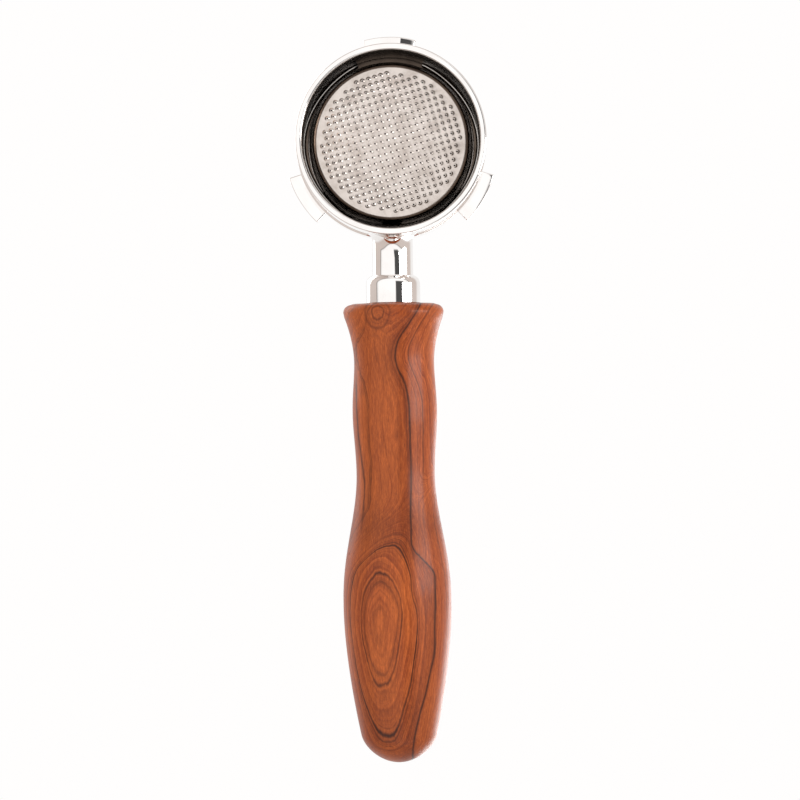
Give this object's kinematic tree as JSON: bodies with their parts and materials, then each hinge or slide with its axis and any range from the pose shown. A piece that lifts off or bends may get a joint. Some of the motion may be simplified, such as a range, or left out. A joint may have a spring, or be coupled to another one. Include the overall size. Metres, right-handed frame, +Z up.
{
  "type": "portafilter",
  "caption": "Bottomless espresso portafilter: lugged steel ring with neck, removable perforated basket held by a wire spring, and a turned wooden handle that unscrews.",
  "frame": {"origin": "on the ring's axis, in the plane of its lower rim, which the part rests on", "axes": "+Z up the ring's axis towards the machine, with the basket's mouth up; the handle runs towards -Y and rises gently; X across"},
  "size_m": [0.0692, 0.2437, 0.0363],
  "materials": {
    "polished_steel": "mirror polished",
    "basket_steel": "bright pressed",
    "spring_steel": "drawn wire",
    "plated_steel": "zinc plated",
    "fibre": "pressed fibre",
    "insert_brass": "turned",
    "oiled_hardwood": "oiled, semi-gloss"
  },
  "bodies": {
    "ring_body": {"head": "polished_steel", "retaining_spring": "spring_steel", "stud": "plated_steel"},
    "basket_body": {"filter_basket": "basket_steel"},
    "washer_body": {"washer": "fibre"},
    "handle_body": {"insert": "insert_brass", "handle": "oiled_hardwood"}
  },
  "joints": [
    {"name": "basket_lift", "type": "slide", "parent": "ring_body", "child": "basket_body", "axis": [0, 0, 1], "range_m": [0, 0.032]},
    {"name": "handle_feed", "type": "slide", "parent": "ring_body", "child": "washer_body", "axis": [0, -0.9999, 0.0121], "range_m": [0, 0.012]},
    {"name": "handle_unscrew", "type": "hinge", "parent": "washer_body", "child": "handle_body", "pos_m": [0, -0.0537, 0.01697], "axis": [0, -0.9999, 0.0121], "range_deg": [0, 2880]}
  ],
  "couplings": [
    {"joint": "handle_feed", "follows": "handle_unscrew", "m_per_rad": 0.00023873}
  ]
}
